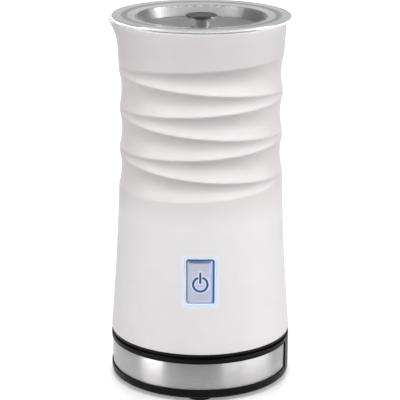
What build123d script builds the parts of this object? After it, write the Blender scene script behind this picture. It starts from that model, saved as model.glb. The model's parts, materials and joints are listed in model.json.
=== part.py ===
from build123d import *
import math
import os

# Milk frother: a cordless jug with a magnetically driven whisk, standing on its power base.
# Millimetres. +Z is up, the button faces -Y and the pouring lip points to -X.
# The origin is on the jug's axis, at the level that the feet stand on.
# Angles called bearing are in degrees from the front (-Y), positive towards the right (+X).

# ---- base ----------------------------------------------------------------------------------------
BASE_R = 50.0
FOOT_R, FOOT_H, FOOT_AT = 8.0, 2.0, 39.0
PAN_TOP_Z = 7.0                       # top of the pan's visible rim, where the steel band starts
BAND_TOP_Z = 22.3
BAND_R, BAND_T = 49.4, 0.6
PAN_WALL = 2.0
PAN_FLOOR = 2.4
GAP_BEARING, GAP_WIDTH = 110.0, 75.0  # the band is C-shaped: the middle and width of its gap
BAND_END_PLAY = 0.6                   # degrees between each end of the band and the panel
DECK_Z, DECK_T = 25.3, 2.5
BASE_SCREW_AT = 34.0
GLAND_Z = 14.6
GLAND_BORE_R = 3.3

# ---- connector between base and jug --------------------------------------------------------------
BOSS_R, BOSS_TOP_Z, BOSS_LOW_Z = 16.4, 33.0, 10.0
SLOT_FLOOR_Z = 14.0
PIN_R, PIN_HOLE_R = 2.0, 2.9
SLOTS = [(6.2, 8.8), (10.8, 13.4)]    # inner and outer radius of each ring slot
CONTACT_T, CONTACT_FIT = 0.4, 0.08
WELL_R, WELL_TOP_Z = 17.2, 34.0
SOCKET_R, SOCKET_T = 21.0, 3.5

# ---- jug shell -----------------------------------------------------------------------------------
REST_GAP = 0.3                        # play between pieces that lift off each other
COVER_Z = DECK_Z + REST_GAP
COVER_R, COVER_T = 49.6, 2.0
SHELL_Z0 = COVER_Z + COVER_T
SHELL_Z1 = 202.5
FOOT_FLARE_R, WAIST_R, TOP_R = 50.0, 44.5, 46.3
WAIST_Z = 150.0
FLARE_POWER, COLLAR_POWER = 1.85, 2.2
WALL = 2.0                            # of the mouth and the lip
PLAIN_LINING, FOLDED_LINING = 3.15, 3.8  # from skin to hollow, below the folds and behind them
FOLDS_Z0 = 100.0
FOLD_DEPTH, FOLD_SWELL = 1.0, 1.3     # depth of a fold at the sides, and how much more in front and behind
FOLD_PITCH = 12.0                     # that depth is for crests so far apart
CREST_SHARPNESS = 8                   # higher makes the crests' rounding tighter
LIP_REACH, LIP_HALF_WIDTH, LIP_Z0, LIP_POWER = 4.4, 19.0, 186.0, 2.2
# Heights of each fold's crest at the left side, the front and the right side of the jug.
CRESTS = [
    (177.5, 182.3, 185.3), (175.5, 170.2, 164.5), (155.0, 158.3, 162.0), (153.0, 146.4, 141.8),
    (132.5, 135.0, 139.5), (130.5, 123.2, 119.0), (110.5, 112.0, 117.5),
]
COVER_SCREW_AT, COVER_SCREW_BEARINGS = 42.6, (60, 180, 300)
BOSS_Z0, BOSS_Z1 = 31.5, 46.0

# ---- inner pot -----------------------------------------------------------------------------------
POT_R, POT_T, POT_FLOOR_Z = 39.5, 0.8, 98.0
POT_CORNER_R = 5.0
POT_RIM_R, POT_RIM_Z = 43.4, 196.4
GASKET_T, SHELF_T = 0.6, 3.0
POT_UNDER_Z = POT_FLOOR_Z - POT_T

# ---- lid -----------------------------------------------------------------------------------------
LID_R, LID_Z0, LID_Z1 = 48.8, SHELL_Z1 + REST_GAP, 205.1
DISH_EDGE_R, DISH_EDGE_Z, DISH_FLOOR_R, DISH_FLOOR_Z, DISH_T = 35.8, 204.2, 33.0, 198.0, 1.6
SKIRT_R, SKIRT_T, SKIRT_Z = 38.6, 1.7, 191.0
SEAL_Z0, SEAL_Z1, SEAL_GROOVE, SEAL_FIT = 193.0, 196.5, 0.7, 0.08
KNOB_R, KNOB_Z0, KNOB_Z1 = 8.75, 203.1, 204.7
STEM_R, STEM_BORE_R = 5.15, 3.6

# ---- power button --------------------------------------------------------------------------------
BUTTON_Z = 68.45
BUTTON_W, BUTTON_H = 14.6, 24.2
BUTTON_CORNER = 1.0
BUTTON_PLAY = 0.4
FRAME_W = 0.7
BUTTON_SUNK, FRAME_PROUD = 0.5, 0.15  # the cap's face lies below the shell's skin, the lit frame above it
BUTTON_T, FRAME_T, SYMBOL_T = 2.2, 3.5, 1.1  # depths below the skin
SYMBOL_Z, SYMBOL_R, SYMBOL_STROKE, SYMBOL_GAP = 66.9, 3.85, 1.25, 24.0
BAR_LOW, BAR_HIGH = 0.4, 6.7
SWITCH_BOARD_Y, SWITCH_BOARD_T = -40.5, 1.6
SWITCH_Z, SWITCH_FACE_Y, PLUNGER_TIP_Y = 66.9, -43.0, -44.0
PLUNGER_R, PLUNGER_FIT = 1.7, 0.08

# ---- drive ---------------------------------------------------------------------------------------
MOTOR_R, MOTOR_Z0, MOTOR_Z1 = 13.85, 54.0, 88.0
MOTOR_WALL, END_CAP_T = 1.0, 3.0
SHAFT_R, SHAFT_FIT, BUSH_R = 1.0, 0.06, 3.0
ARMATURE_R, ARMATURE_Z0, ARMATURE_Z1 = 9.7, 60.0, 84.0
BRACKET_T = 1.6
CARRIER_R, CARRIER_Z0, CARRIER_Z1 = 18.5, 91.0, 95.5
MAGNET_R, MAGNET_T, MAGNETS_AT = 4.0, 3.0, 12.0
HEATER_R, HEATER_BORE_R, HEATER_T = 34.4, 22.0, 3.0
STUDS_AT, STUD_R = 31.0, 1.5
ELEMENT_T = 3.5
BOARD_Z, BOARD_R, BOARD_T = 44.0, 36.0, 1.6
POSTS_AT = 31.0
POST_BEARINGS = (0, 120, 240)

# ---- whisk ---------------------------------------------------------------------------------------
PIVOT_R, PIVOT_TOP_Z, PIVOT_FIT = 1.5, 108.0, 0.06
HUB_R, HUB_Z0, HUB_Z1 = 15.0, 98.8, 103.2
SLEEVE_R, SLEEVE_TOP_Z = 3.6, 112.0
COIL_AT, COIL_R, COIL_Z = 19.0, 2.6, 109.0
WHISK_RING_R, WHISK_RING_H = 17.6, 4.0


# ---- helpers -------------------------------------------------------------------------------------
def at(radius, bearing):
    """Point in plan at a radius and a bearing from the front."""
    turn = math.radians(bearing)
    return radius * math.sin(turn), -radius * math.cos(turn)


def disc(radius, z0, z1, x=0.0, y=0.0):
    """Upright cylinder between two heights."""
    return Pos(x, y, z0) * Cylinder(radius, z1 - z0, align=(Align.CENTER, Align.CENTER, Align.MIN))


def ring(r_in, r_out, z0, z1):
    """Upright tube about the jug's axis."""
    return disc(r_out, z0, z1) - disc(r_in, z0 - 1, z1 + 1)


def block(x0, x1, y0, y1, z0, z1):
    """Box between two corners."""
    return Pos((x0 + x1) / 2, (y0 + y1) / 2, (z0 + z1) / 2) * Box(x1 - x0, y1 - y0, z1 - z0)


def turned(outline, rounds=()):
    """Solid of revolution of (radius, height) corners; rounds pairs a corner's index with its radius."""
    face = make_face(Polyline(*outline, close=True))
    for index, radius in rounds:
        r, z = outline[index]
        corner = min(face.vertices(), key=lambda v: math.hypot(v.X - r, v.Y - z))
        face = fillet(corner, radius)
    return revolve(Plane.XZ * face, Axis.Z)


def wedge(bearing0, bearing1, z0, z1, reach=60.0):
    """Slice of pie between two bearings, used to cut sectors out of rings."""
    steps = 6
    spread = [bearing0 + (bearing1 - bearing0) * i / steps for i in range(steps + 1)]
    corners = [(0, 0)] + [at(reach, b) for b in spread]
    return extrude(Pos(0, 0, z0) * make_face(Polyline(*corners, close=True)), z1 - z0)


def around(piece_at, radius, bearings):
    """Identical pieces on a circle, as one compound of separate solids."""
    return Compound(children=[piece_at(*at(radius, b)) for b in bearings])


def joined(*pieces):
    """Separate solids kept apart in one node."""
    return Compound(children=[solid for piece in pieces for solid in piece.solids()])


# ---- form of the shell ---------------------------------------------------------------------------
def body_r(z):
    """Radius over the fold crests: widest at the foot, a waist, and a collar that opens a little."""
    if z < WAIST_Z:
        rise = (WAIST_Z - z) / (WAIST_Z - SHELL_Z0)
        return WAIST_R + (FOOT_FLARE_R - WAIST_R) * rise ** FLARE_POWER
    rise = (z - WAIST_Z) / (SHELL_Z1 - WAIST_Z)
    return WAIST_R + (TOP_R - WAIST_R) * rise ** COLLAR_POWER


def crest_z(crest, turn):
    """Height of a fold's crest: it runs from side to side and comes back the same way behind."""
    left, front, right = crest
    side = math.asin(0.98 * math.sin(turn)) / math.asin(0.98)
    return front + (right - left) / 2 * side + ((right + left) / 2 - front) * side ** 2


def fold(turn, z):
    """How far the surface lies below the crests: a hollow between each two crests."""
    full_depth = FOLD_DEPTH + FOLD_SWELL * (1 - math.sin(turn) ** 4)
    for upper, lower in zip(CRESTS, CRESTS[1:]):
        z_upper, z_lower = crest_z(upper, turn), crest_z(lower, turn)
        if z_lower <= z <= z_upper:
            across = (z_upper - z) / (z_upper - z_lower)
            depth = full_depth * min(1.2, (z_upper - z_lower) / FOLD_PITCH)
            off_middle = abs(2 * across - 1)
            return depth * (1 - off_middle ** 2) * (1 - off_middle ** CREST_SHARPNESS)
    return 0.0


def lip(turn, z):
    """Extra radius of the pouring lip on the left."""
    if z <= LIP_Z0:
        return 0.0
    away = (math.degrees(turn) + 90 + 180) % 360 - 180
    rise = (z - LIP_Z0) / (SHELL_Z1 - LIP_Z0)
    return LIP_REACH * rise ** LIP_POWER * math.exp(-((away / LIP_HALF_WIDTH) ** 2))


def outer_r(turn, z):
    return body_r(z) - fold(turn, z) + lip(turn, z)


def hollow_r(z):
    """Inside of the shell below the pot's rim."""
    return body_r(z) - (PLAIN_LINING if z < FOLDS_Z0 else FOLDED_LINING)


def funnel_r(turn, z):
    """Inside of the jug's mouth above the pot: a plain circle at the pot's rim, opening to the lip."""
    open_r = body_r(SHELL_Z1) + lip(turn, SHELL_Z1) - WALL
    rise = max(0.0, (z - POT_RIM_Z) / (SHELL_Z1 - POT_RIM_Z))
    seat_r = POT_RIM_R + 0.1
    return seat_r + (open_r - seat_r) * rise ** 1.5


def lofted(radius_at, heights, around_count=72):
    """Solid through closed smooth sections whose radius depends on turn and height; the seam is behind."""
    shares = [i / around_count for i in range(around_count + 1)]
    sections = []
    for z in heights:
        points = []
        for share in shares[:-1]:
            turn = math.pi + 2 * math.pi * share
            r = radius_at(turn, z)
            points.append(Vector(r * math.sin(turn), -r * math.cos(turn), z))
        sections.append(Wire([Edge.make_spline(points, periodic=True, parameters=shares)]))
    return Solid.make_loft(sections)


def levels(z0, z1, count):
    return [z0 + (z1 - z0) * i / count for i in range(count + 1)]


def skin(outward, inward):
    """Curved plate that follows the shell's front around the button, between two offsets."""
    heights = levels(BUTTON_Z - 18, BUTTON_Z + 18, 6)
    front = [(body_r(z) + outward, z) for z in heights]
    back = [(body_r(z) - inward, z) for z in reversed(heights)]
    return turned(front + back)


def window(width, height, corner, y0=-55.0, y1=-38.0):
    """Upright rounded bar through the shell's front at the button."""
    face = Plane((0, y0, BUTTON_Z), x_dir=(1, 0, 0), z_dir=(0, -1, 0)) * RectangleRounded(width, height, corner)
    return extrude(face, -(y1 - y0))


def along_y(radius, y0, y1, x, z):
    """Cylinder along Y."""
    return Pos(x, (y0 + y1) / 2, z) * Rot(90, 0, 0) * Cylinder(radius, y1 - y0)


# ---- base ----------------------------------------------------------------------------------------
def base_bottom():
    r_wall = BAND_R - BAND_T
    pan = turned([(0, FOOT_H), (BASE_R, FOOT_H), (BASE_R, PAN_TOP_Z), (0, PAN_TOP_Z)], [(1, 2.2)])
    pan += disc(r_wall, PAN_TOP_Z, BAND_TOP_Z)
    half = GAP_WIDTH / 2 - BAND_END_PLAY
    panel = ring(r_wall - 1, BASE_R, PAN_TOP_Z, BAND_TOP_Z)
    pan += panel & wedge(GAP_BEARING - half, GAP_BEARING + half, 0, BAND_TOP_Z)
    pan -= disc(r_wall - PAN_WALL, FOOT_H + PAN_FLOOR, BAND_TOP_Z + 1)
    for bearing in (45, 135, 225, 315):
        x, y = at(BASE_SCREW_AT, bearing)
        pan += disc(4.5, FOOT_H + 1, 12, x, y)
        pan -= disc(3.2, FOOT_H - 1, 5, x, y)
        pan -= disc(1.7, 4, 13, x, y)
    return pan - gland_bar(5.0, 40, 60)


def gland_bar(radius, r0, r1):
    """Cylinder through the base's rear panel along the cord's way out."""
    x, y = at((r0 + r1) / 2, GAP_BEARING)
    return Pos(x, y, GLAND_Z) * Rot(0, 0, GAP_BEARING - 90) * Rot(0, 90, 0) * Cylinder(radius, r1 - r0)


def cord_gland():
    r_in = BAND_R - BAND_T - PAN_WALL
    body = gland_bar(5.0, r_in - 1.9, BASE_R + 1.2)
    body += gland_bar(6.4, BASE_R + 0.1, BASE_R + 1.2)
    body += gland_bar(6.4, r_in - 1.9, r_in - 0.8)
    return body - gland_bar(GLAND_BORE_R, r_in - 5, BASE_R + 5)


def steel_band():
    band = ring(BAND_R - BAND_T, BAND_R, PAN_TOP_Z, BAND_TOP_Z)
    half = GAP_WIDTH / 2
    return band - wedge(GAP_BEARING - half, GAP_BEARING + half, 0, BAND_TOP_Z + 1)


def base_top():
    top = turned([(0, BAND_TOP_Z), (BASE_R, BAND_TOP_Z), (BASE_R, DECK_Z), (0, DECK_Z)], [(2, 0.9)])
    top -= disc(BAND_R - BAND_T - PAN_WALL - 2, BAND_TOP_Z - 1, DECK_Z - DECK_T)
    for bearing in (45, 135, 225, 315):
        x, y = at(BASE_SCREW_AT, bearing)
        top += disc(4.0, 12, DECK_Z - DECK_T, x, y)
        top -= disc(1.5, 11, 20, x, y)
    return top - disc(BOSS_R, 0, DECK_Z + 1)


def base_screws():
    def screw(x, y):
        return disc(3.0, 3.0, 5.0, x, y) + disc(1.5, 5.0, 20.0, x, y)
    return around(screw, BASE_SCREW_AT, (45, 135, 225, 315))


def base_feet():
    def foot(x, y):
        return fillet(disc(FOOT_R, 0, FOOT_H, x, y).edges().group_by(Axis.Z)[0], 0.6)
    return around(foot, FOOT_AT, (0, 90, 180, 270))


def base_connector():
    body = fillet(disc(BOSS_R, BOSS_LOW_Z, BOSS_TOP_Z).edges().group_by(Axis.Z)[-1], 1.2)
    body += disc(20.0, DECK_Z - DECK_T - 3, DECK_Z - DECK_T)
    body -= disc(PIN_HOLE_R, SLOT_FLOOR_Z, BOSS_TOP_Z + 1)
    for r_in, r_out in SLOTS:
        body -= ring(r_in, r_out, SLOT_FLOOR_Z, BOSS_TOP_Z + 1)
    return body


def base_contact_sleeve():
    return ring(PIN_R + CONTACT_FIT, PIN_HOLE_R, SLOT_FLOOR_Z, SLOT_FLOOR_Z + 10)


def base_contact_rings():
    return joined(*[ring(r_in, r_in + CONTACT_T, SLOT_FLOOR_Z, SLOT_FLOOR_Z + 12) for r_in, r_out in SLOTS])


# ---- jug casing ----------------------------------------------------------------------------------
def outer_shell():
    shell = Part() + lofted(outer_r, levels(SHELL_Z0, SHELL_Z1, 100))
    under_shelf_z = POT_RIM_Z - POT_T - GASKET_T - SHELF_T
    inside = [(hollow_r(z), z) for z in levels(SHELL_Z0, under_shelf_z, 12)]
    shell -= turned([(0, SHELL_Z0 - 1), (inside[0][0], SHELL_Z0 - 1)] + inside + [(0, under_shelf_z)])
    shell -= disc(POT_R + POT_T + 0.3, under_shelf_z - 1, POT_RIM_Z)
    shell -= lofted(funnel_r, levels(under_shelf_z + SHELF_T, SHELL_Z1 + 0.5, 16))
    shell -= window(BUTTON_W + 2 * (BUTTON_PLAY + FRAME_W), BUTTON_H + 2 * (BUTTON_PLAY + FRAME_W),
                    BUTTON_CORNER + BUTTON_PLAY + FRAME_W)
    for bearing in COVER_SCREW_BEARINGS:
        x, y = at(COVER_SCREW_AT, bearing)
        shell += disc(4.4, BOSS_Z0, BOSS_Z1, x, y)
        shell -= disc(1.5, BOSS_Z0 - 1, BOSS_Z1 - 3, x, y)
    return shell


def jug_bottom_cover():
    cover = turned([(0, COVER_Z), (COVER_R, COVER_Z), (COVER_R, SHELL_Z0), (0, SHELL_Z0)], [(1, 0.6)])
    cover += ring(44.8, 46.3, SHELL_Z0 - 0.5, SHELL_Z0 + 4.4)
    for bearing in COVER_SCREW_BEARINGS:
        x, y = at(COVER_SCREW_AT, bearing)
        cover -= disc(4.9, BOSS_Z0 - 0.1, BOSS_Z0 + 3, x, y)
        cover += disc(4.5, SHELL_Z0 - 0.5, BOSS_Z0, x, y) & disc(46.3, SHELL_Z0 - 0.5, BOSS_Z0)
        cover -= disc(3.0, COVER_Z - 1, 28.6, x, y)
        cover -= disc(1.7, 28, BOSS_Z0 + 1, x, y)
    for bearing in POST_BEARINGS:
        x, y = at(POSTS_AT, bearing)
        cover += disc(3.0, SHELL_Z0 - 0.5, BOARD_Z, x, y)
        cover -= disc(1.25, BOARD_Z - 6, BOARD_Z + 1, x, y)
    return cover - disc(SOCKET_R, COVER_Z - 1, SHELL_Z0 + 1)


def cover_screws():
    def screw(x, y):
        return disc(2.8, 26.6, 28.6, x, y) + disc(1.5, 28.6, BOSS_Z1 - 4, x, y)
    return around(screw, COVER_SCREW_AT, COVER_SCREW_BEARINGS)


def inner_pot():
    outline = [
        (0, POT_FLOOR_Z), (POT_R, POT_FLOOR_Z), (POT_R, POT_RIM_Z), (POT_RIM_R, POT_RIM_Z),
        (POT_RIM_R, POT_RIM_Z - POT_T), (POT_R + POT_T, POT_RIM_Z - POT_T), (POT_R + POT_T, POT_UNDER_Z),
        (0, POT_UNDER_Z),
    ]
    return turned(outline, [(1, POT_CORNER_R), (6, POT_CORNER_R + POT_T), (2, 0.7)])


def pot_gasket():
    return ring(POT_R + POT_T + 0.3, POT_RIM_R, POT_RIM_Z - POT_T - GASKET_T, POT_RIM_Z - POT_T)


def pivot_pin():
    pin = fillet(disc(PIVOT_R, POT_FLOOR_Z, PIVOT_TOP_Z).edges().group_by(Axis.Z)[-1], 0.7)
    return pin


# ---- connector halves in the jug -----------------------------------------------------------------
def jug_connector():
    socket = disc(SOCKET_R, COVER_Z, WELL_TOP_Z + SOCKET_T) - disc(WELL_R, COVER_Z - 1, WELL_TOP_Z)
    socket += ring(SOCKET_R - 0.5, 24.0, SHELL_Z0, SHELL_Z0 + 1.6)
    socket -= disc(PIN_R, WELL_TOP_Z - 1, WELL_TOP_Z + SOCKET_T + 1)
    for r_in, r_out in SLOTS:
        socket -= ring(r_in + 0.7, r_out - 0.9, WELL_TOP_Z - 1, WELL_TOP_Z + SOCKET_T + 1)
    bridge = block(-SOCKET_R + 2, SOCKET_R - 2, -1.5, 1.5, WELL_TOP_Z + 1.5, WELL_TOP_Z + SOCKET_T)
    return socket + (bridge - disc(PIN_R, WELL_TOP_Z, WELL_TOP_Z + SOCKET_T + 1))


def jug_contact_pin():
    pin = disc(PIN_R, SLOT_FLOOR_Z + 1, WELL_TOP_Z + SOCKET_T + 2.5)
    return fillet(pin.edges().group_by(Axis.Z)[0], 0.9)


def jug_contact_rings():
    rings = [ring(r_in + 0.7, r_out - 0.9, 20.0, WELL_TOP_Z + 1.5) for r_in, r_out in SLOTS]
    return joined(*rings)


# ---- heating and drive ---------------------------------------------------------------------------
def heater_plate():
    plate = ring(HEATER_BORE_R, HEATER_R, POT_UNDER_Z - HEATER_T, POT_UNDER_Z)
    for bearing in POST_BEARINGS:
        x, y = at(STUDS_AT, bearing + 180)
        plate += disc(STUD_R, MOTOR_Z1 - 4, POT_UNDER_Z - 1, x, y)
    return plate


def heater_element():
    return ring(22.8, 26.4, POT_UNDER_Z - HEATER_T - ELEMENT_T, POT_UNDER_Z - HEATER_T)


def thermostat():
    x, y = at(30.6, 0)
    under = POT_UNDER_Z - HEATER_T
    return disc(3.6, under - 3.2, under, x, y) + disc(2.4, under - 4.2, under - 3.2, x, y)


def motor_bracket():
    plate = disc(15.0, MOTOR_Z1, MOTOR_Z1 + BRACKET_T)
    for bearing in POST_BEARINGS:
        spoke = block(-5, 5, -36, 0, MOTOR_Z1, MOTOR_Z1 + BRACKET_T)
        plate += Rot(0, 0, bearing + 180) * spoke
    for bearing in POST_BEARINGS:
        x, y = at(STUDS_AT, bearing + 180)
        plate -= disc(STUD_R, 80, 95, x, y)
    for x in (-8, 8):
        plate -= disc(1.25, 80, 95, x, 0)
    return plate - disc(5.0, 80, 95)


def bracket_nuts():
    def nut(x, y):
        hexagon = Pos(x, y, MOTOR_Z1 - 2.4) * RegularPolygon(3.1, 6)
        return extrude(hexagon, 2.4) - disc(STUD_R, 80, 95, x, y)
    return around(nut, STUDS_AT, [b + 180 for b in POST_BEARINGS])


def motor_screws():
    def screw(x, y):
        top = MOTOR_Z1 + BRACKET_T
        return disc(2.3, top, top + 0.9, x, y) + disc(1.25, MOTOR_Z1 - MOTOR_WALL, top, x, y)
    return around(screw, 8.0, (90, 270))


def motor_can():
    can = disc(MOTOR_R, MOTOR_Z0, MOTOR_Z1) - disc(MOTOR_R - MOTOR_WALL, MOTOR_Z0 - 1, MOTOR_Z1 - MOTOR_WALL)
    can = fillet(can.edges().group_by(Axis.Z)[-1], 0.4)
    can += disc(5.0, MOTOR_Z1 - 0.5, MOTOR_Z1 + 1.5)
    for x in (-8, 8):
        can -= disc(1.25, 80, 95, x, 0)
    return can - disc(BUSH_R, 80, 95)


def motor_end_cap():
    cap = disc(MOTOR_R, MOTOR_Z0 - END_CAP_T, MOTOR_Z0) - disc(BUSH_R, 50, 55)
    for x in (-9.0, 9.0):
        cap += block(x - 0.4, x + 0.4, -1.6, 1.6, 47.0, MOTOR_Z0 - END_CAP_T)
    return cap


def motor_bushes():
    bore = SHAFT_R + SHAFT_FIT
    upper = ring(bore, BUSH_R, MOTOR_Z1 - MOTOR_WALL, MOTOR_Z1 + 1.5)
    lower = ring(bore, BUSH_R, MOTOR_Z0 - END_CAP_T, MOTOR_Z0)
    return joined(upper, lower)


def motor_field_magnets():
    hollow = ring(10.2, MOTOR_R - MOTOR_WALL, ARMATURE_Z0, ARMATURE_Z1)
    return joined(hollow & wedge(-70, 70, 50, 90), hollow & wedge(110, 250, 50, 90))


def motor_shaft():
    return disc(SHAFT_R, MOTOR_Z0 - END_CAP_T - 0.5, CARRIER_Z1)


def motor_armature():
    core = disc(ARMATURE_R, ARMATURE_Z0, ARMATURE_Z1)
    for bearing in range(0, 360, 72):
        x, y = at(ARMATURE_R - 1.6, bearing)
        core -= disc(1.3, ARMATURE_Z0 - 1, ARMATURE_Z1 + 1, x, y)
    core += disc(4.0, MOTOR_Z0 + 1, ARMATURE_Z0)
    return core - disc(SHAFT_R, 50, 90)


def magnet_carrier():
    carrier = disc(CARRIER_R, CARRIER_Z0, CARRIER_Z1) + disc(4.0, CARRIER_Z0 - 0.9, CARRIER_Z0)
    for bearing in (45, 135, 225, 315):
        x, y = at(MAGNETS_AT, bearing)
        carrier -= disc(MAGNET_R, CARRIER_Z1 - MAGNET_T, CARRIER_Z1 + 1, x, y)
    return carrier - disc(SHAFT_R, 80, 100)


def drive_magnets():
    def magnet(x, y):
        return disc(MAGNET_R, CARRIER_Z1 - MAGNET_T, CARRIER_Z1, x, y)
    return around(magnet, MAGNETS_AT, (45, 135, 225, 315))


# ---- electronics ---------------------------------------------------------------------------------
def control_board():
    board = disc(BOARD_R, BOARD_Z, BOARD_Z + BOARD_T)
    for bearing in POST_BEARINGS:
        x, y = at(POSTS_AT, bearing)
        board -= disc(1.25, BOARD_Z - 1, BOARD_Z + 3, x, y)
    return board


def board_screws():
    def screw(x, y):
        top = BOARD_Z + BOARD_T
        return disc(2.4, top, top + 1.6, x, y) + disc(1.25, BOARD_Z - 5, top, x, y)
    return around(screw, POSTS_AT, POST_BEARINGS)


def relay():
    box = block(18, 30, -8, 8, BOARD_Z + BOARD_T, BOARD_Z + BOARD_T + 15)
    return fillet(box.edges().group_by(Axis.Z)[-1], 0.6)


def filter_capacitor():
    can = disc(5.0, BOARD_Z + BOARD_T, BOARD_Z + BOARD_T + 12.5, -22, 2)
    return fillet(can.edges().group_by(Axis.Z)[-1], 0.8)


def suppression_capacitor():
    box = block(-7, 7, 20.5, 27, BOARD_Z + BOARD_T, BOARD_Z + BOARD_T + 11)
    return fillet(box.edges().group_by(Axis.Z)[-1], 0.6)


def terminal_block():
    z0 = BOARD_Z + BOARD_T
    body = block(-9, 9, -26, -19, z0, z0 + 9)
    for x in (-6, 0, 6):
        body -= disc(1.8, z0 + 5, z0 + 10, x, -22.5)
    return body


def switch_board():
    return block(-10, 10, SWITCH_BOARD_Y, SWITCH_BOARD_Y + SWITCH_BOARD_T, 54.5, 83.3)


def switch_housing():
    body = block(-3, 3, SWITCH_FACE_Y, SWITCH_BOARD_Y, SWITCH_Z - 3, SWITCH_Z + 3)
    return body - along_y(PLUNGER_R + PLUNGER_FIT, SWITCH_FACE_Y - 1, SWITCH_BOARD_Y + 1, 0, SWITCH_Z)


def switch_plunger():
    return along_y(PLUNGER_R, PLUNGER_TIP_Y, SWITCH_BOARD_Y - 1.0, 0, SWITCH_Z)


def status_leds():
    y0, y1 = SWITCH_BOARD_Y - 1.4, SWITCH_BOARD_Y
    spots = [(0, BUTTON_Z + 9.5), (0, BUTTON_Z - 9.5), (-6.2, BUTTON_Z), (6.2, BUTTON_Z)]
    return joined(*[block(x - 1.4, x + 1.4, y0, y1, z - 1, z + 1) for x, z in spots])


def button_light_frame():
    hole_w, hole_h = BUTTON_W + 2 * BUTTON_PLAY, BUTTON_H + 2 * BUTTON_PLAY
    bar = window(hole_w + 2 * FRAME_W, hole_h + 2 * FRAME_W, BUTTON_CORNER + BUTTON_PLAY + FRAME_W)
    frame = bar & skin(FRAME_PROUD, FRAME_T)
    frame -= window(hole_w, hole_h, BUTTON_CORNER + BUTTON_PLAY)
    for x in (-8.0, 8.0):
        for z in (BUTTON_Z - 9.5, BUTTON_Z + 9.5):
            y_back = -math.sqrt((body_r(z) - FRAME_T) ** 2 - x ** 2)
            frame += block(x - 0.35, x + 0.35, y_back - 0.6, SWITCH_BOARD_Y, z - 2, z + 2)
    return frame


def symbol_bar():
    """The power mark's broken circle and upright bar, as a prism along Y."""
    arc = Circle(SYMBOL_R + SYMBOL_STROKE / 2) - Circle(SYMBOL_R - SYMBOL_STROKE / 2)
    top = 2 * SYMBOL_R
    side = top * math.tan(math.radians(SYMBOL_GAP))
    arc -= make_face(Polyline((0, 0), (side, top), (-side, top), close=True))
    for turn in (90 - SYMBOL_GAP, 90 + SYMBOL_GAP):
        end = math.radians(turn)
        arc += Pos(SYMBOL_R * math.cos(end), SYMBOL_R * math.sin(end)) * Circle(SYMBOL_STROKE / 2)
    bar = Pos(0, (BAR_LOW + BAR_HIGH) / 2) * Rot(0, 0, 90) * SlotOverall(BAR_HIGH - BAR_LOW, SYMBOL_STROKE)
    face = Plane((0, -55, SYMBOL_Z), x_dir=(1, 0, 0), z_dir=(0, -1, 0)) * (arc + bar)
    return extrude(face, -17)


def power_symbol():
    return joined(symbol_bar() & skin(-BUTTON_SUNK, SYMBOL_T))


def button_cap():
    cap = window(BUTTON_W, BUTTON_H, BUTTON_CORNER) & skin(-BUTTON_SUNK, BUTTON_T)
    cap += along_y(2.0, -body_r(SWITCH_Z) + BUTTON_T - 0.5, PLUNGER_TIP_Y - 0.1, 0, SWITCH_Z)
    return cap - (symbol_bar() & skin(1 - BUTTON_SUNK, SYMBOL_T))


# ---- lid -----------------------------------------------------------------------------------------
def lid_dish():
    skirt_in = SKIRT_R - SKIRT_T
    outline = [
        (0, DISH_FLOOR_Z), (DISH_FLOOR_R, DISH_FLOOR_Z), (DISH_EDGE_R, DISH_EDGE_Z), (LID_R - 1.4, LID_Z1),
        (LID_R, LID_Z1), (LID_R, LID_Z0), (SKIRT_R, LID_Z0), (SKIRT_R, SKIRT_Z), (skirt_in, SKIRT_Z),
        (skirt_in, LID_Z0 - 0.6), (DISH_FLOOR_R + 1.3, DISH_FLOOR_Z - DISH_T), (0, DISH_FLOOR_Z - DISH_T),
    ]
    dish = turned(outline, [(1, 0.8), (2, 0.6), (4, 0.9), (5, 0.4)])
    dish += ring(STEM_BORE_R, STEM_R, DISH_FLOOR_Z - 0.5, KNOB_Z0)
    return dish - ring(SKIRT_R - SEAL_GROOVE, SKIRT_R + 1, SEAL_Z0, SEAL_Z1)


def lid_seal():
    root, face, tip = SKIRT_R - SEAL_GROOVE, SKIRT_R, POT_R - SEAL_FIT
    z0, z1 = SEAL_Z0, SEAL_Z1
    outline = [
        (root, z0), (face, z0), (face, z0 + 0.5), (tip, z0 + 0.8), (tip, z0 + 1.2), (face, z0 + 1.5),
        (face, z1 - 1.5), (tip, z1 - 1.2), (tip, z1 - 0.8), (face, z1 - 0.5), (face, z1), (root, z1),
    ]
    return turned(outline)


def lid_knob():
    knob = disc(KNOB_R, KNOB_Z0, KNOB_Z1)
    knob = fillet(knob.edges(), 0.5)
    return knob + disc(STEM_BORE_R, KNOB_Z0 - 1.5, KNOB_Z0 + 0.5)


# ---- whisk ---------------------------------------------------------------------------------------
def whisk_hub():
    hub = fillet(disc(HUB_R, HUB_Z0, HUB_Z1).edges().group_by(Axis.Z)[-1], 1.2)
    hub += disc(SLEEVE_R, HUB_Z1 - 1, SLEEVE_TOP_Z)
    hub -= disc(PIVOT_R + PIVOT_FIT, HUB_Z0 - 1, PIVOT_TOP_Z + REST_GAP)
    for bearing in (0, 90, 180, 270):
        x, y = at(9.5, bearing)
        hub -= disc(3.5, HUB_Z0 - 1, HUB_Z0 + 3, x, y)
    return hub


def whisk_magnets():
    def magnet(x, y):
        return disc(3.5, HUB_Z0, HUB_Z0 + 3, x, y)
    return around(magnet, 9.5, (0, 90, 180, 270))


def whisk_frame():
    frame = ring(14.8, WHISK_RING_R, COIL_Z - WHISK_RING_H / 2, COIL_Z + WHISK_RING_H / 2)
    for bearing in (0, 120, 240):
        spoke = block(-1.4, 1.4, -15.5, -SLEEVE_R + 0.6, COIL_Z - 1.2, COIL_Z + 1.2)
        frame += Rot(0, 0, bearing) * spoke
    frame += ring(SLEEVE_R, SLEEVE_R + 1.2, COIL_Z - 1.2, COIL_Z + 1.2)
    frame -= disc(SLEEVE_R, COIL_Z - 3, COIL_Z + 3)
    return frame - whisk_coil()


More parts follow.
